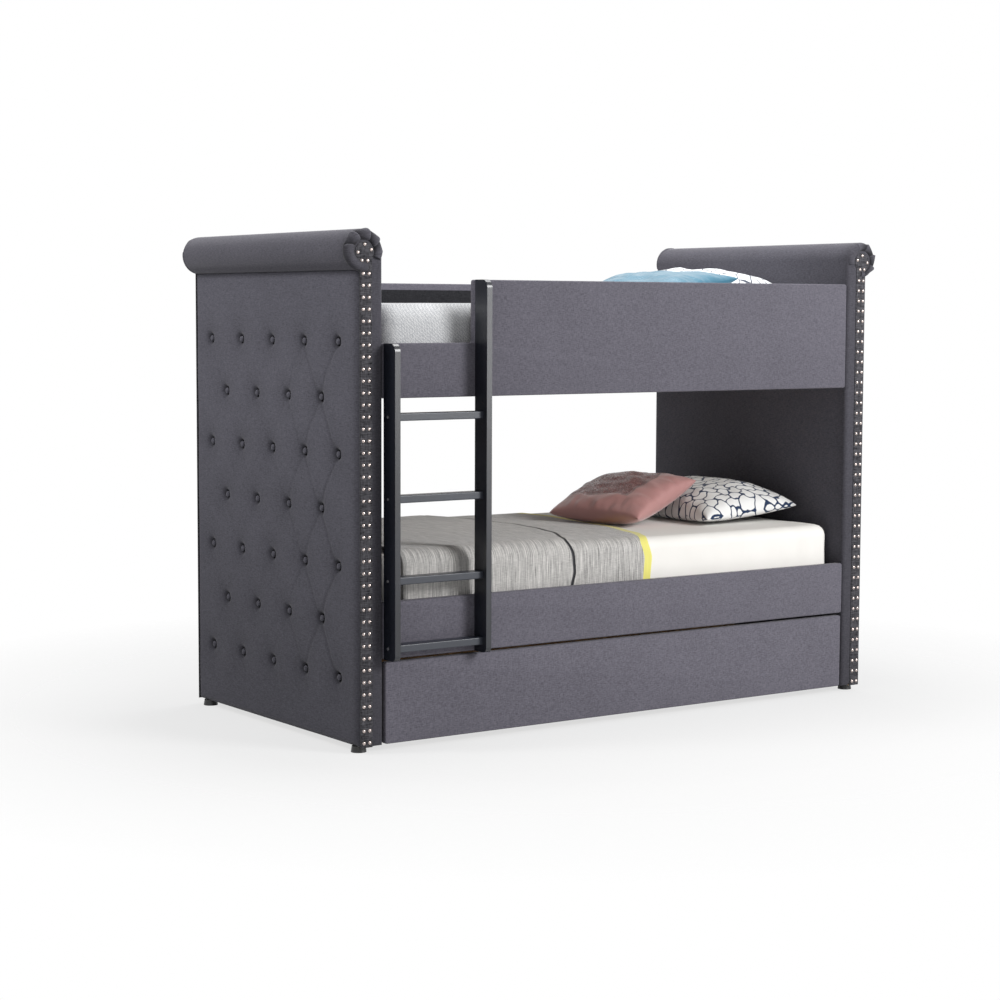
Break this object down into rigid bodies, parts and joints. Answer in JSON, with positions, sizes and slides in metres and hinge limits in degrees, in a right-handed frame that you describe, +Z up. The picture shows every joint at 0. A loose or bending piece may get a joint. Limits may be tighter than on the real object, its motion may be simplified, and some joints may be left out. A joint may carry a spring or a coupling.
{
  "type": "bunk bed with trundle",
  "caption": "Upholstered bunk bed with scroll-topped tufted end panels, a side ladder, two dressed mattresses and a pull-out trundle on casters.",
  "frame": {"origin": "middle of the bed's own bounding box, ladder included, on the floor", "axes": "+Z up, +X along the bed towards the pillows, -Y towards the ladder and the way the trundle pulls out"},
  "size_m": [2.2456, 1.165, 1.64],
  "materials": {
    "upholstery": "heathered grey woven cloth with a faint plum tint",
    "timber": "plain softwood and board, hidden under the cloth",
    "lining": "black lining cloth",
    "nailheads": "bright nickel domes",
    "feet": "black glides",
    "ladder_stiles": "black lacquer",
    "ladder_rungs": "black lacquer",
    "bright_steel": "zinc plated",
    "brackets": "black powder coat",
    "caster_wheels": "hard black wheel",
    "mattress_ticking": "light knitted ticking",
    "sheet": "warm white cotton",
    "blanket": "light grey, finely streaked, with a yellow edge band",
    "rose_satin": "rose satin",
    "blue_satin": "light teal satin",
    "printed_cotton": "white pebbles on a navy ground"
  },
  "bodies": {
    "bed": {"blanket": "blanket", "guard_linings": "lining", "ladder_bolts": "bright_steel", "ladder_left_stile": "ladder_stiles", "ladder_right_stile": "ladder_stiles", "ladder_rungs": "ladder_rungs", "ladder_screws": "bright_steel", "left_end_core": "timber", "left_feet": "feet", "left_front_facing": "upholstery", "left_inner_pad": "upholstery", "left_nailheads": "nailheads", "left_pleated_scroll_ends": "upholstery", "left_rear_facing": "upholstery", "left_tuft_buttons": "upholstery", "left_tufted_outer_pad": "upholstery", "lower_back_board_core": "timber", "lower_back_board_cover": "upholstery", "lower_front_board_core": "timber", "lower_front_board_cover": "upholstery", "lower_ledgers": "timber", "lower_mattress": "mattress_ticking", "lower_print_pillow": "printed_cotton", "lower_rose_pillow": "rose_satin", "lower_sheet": "sheet", "lower_slats": "timber", "rail_bolts": "bright_steel", "rail_brackets": "brackets", "right_end_core": "timber", "right_feet": "feet", "right_front_facing": "upholstery", "right_inner_pad": "upholstery", "right_nailheads": "nailheads", "right_pleated_scroll_ends": "upholstery", "right_rear_facing": "upholstery", "right_tuft_buttons": "upholstery", "right_tufted_outer_pad": "upholstery", "upper_back_board_core": "timber", "upper_back_board_cover": "upholstery", "upper_blue_pillow": "blue_satin", "upper_front_board_core": "timber", "upper_front_board_cover": "upholstery", "upper_ledgers": "timber", "upper_mattress": "mattress_ticking", "upper_print_pillow": "printed_cotton", "upper_slats": "timber"},
    "trundle": {"trundle_back_board": "timber", "trundle_bearers": "timber", "trundle_front_board_core": "timber", "trundle_front_board_cover": "upholstery", "trundle_left_board": "timber", "trundle_right_board": "timber", "trundle_slats": "timber", "caster_forks": "bright_steel", "caster_axles": "bright_steel"},
    "front_left_wheel": {"front_left_wheel": "caster_wheels"},
    "front_right_wheel": {"front_right_wheel": "caster_wheels"},
    "back_left_wheel": {"back_left_wheel": "caster_wheels"},
    "back_right_wheel": {"back_right_wheel": "caster_wheels"}
  },
  "joints": [
    {"name": "trundle_slide", "type": "slide", "parent": "bed", "child": "trundle", "axis": [0, -1, 0], "range_m": [0, 0.95]},
    {"name": "front_left_wheel_spin", "type": "hinge", "parent": "trundle", "child": "front_left_wheel", "pos_m": [-0.868, -0.408, 0.025], "axis": [1, 0, 0], "continuous": true},
    {"name": "front_right_wheel_spin", "type": "hinge", "parent": "trundle", "child": "front_right_wheel", "pos_m": [0.868, -0.408, 0.025], "axis": [1, 0, 0], "continuous": true},
    {"name": "back_left_wheel_spin", "type": "hinge", "parent": "trundle", "child": "back_left_wheel", "pos_m": [-0.868, 0.427, 0.025], "axis": [1, 0, 0], "continuous": true},
    {"name": "back_right_wheel_spin", "type": "hinge", "parent": "trundle", "child": "back_right_wheel", "pos_m": [0.868, 0.427, 0.025], "axis": [1, 0, 0], "continuous": true}
  ],
  "couplings": [
    {"joint": "front_left_wheel_spin", "follows": "trundle_slide", "rad_per_m": 40},
    {"joint": "front_right_wheel_spin", "follows": "trundle_slide", "rad_per_m": 40},
    {"joint": "back_left_wheel_spin", "follows": "trundle_slide", "rad_per_m": 40},
    {"joint": "back_right_wheel_spin", "follows": "trundle_slide", "rad_per_m": 40}
  ]
}
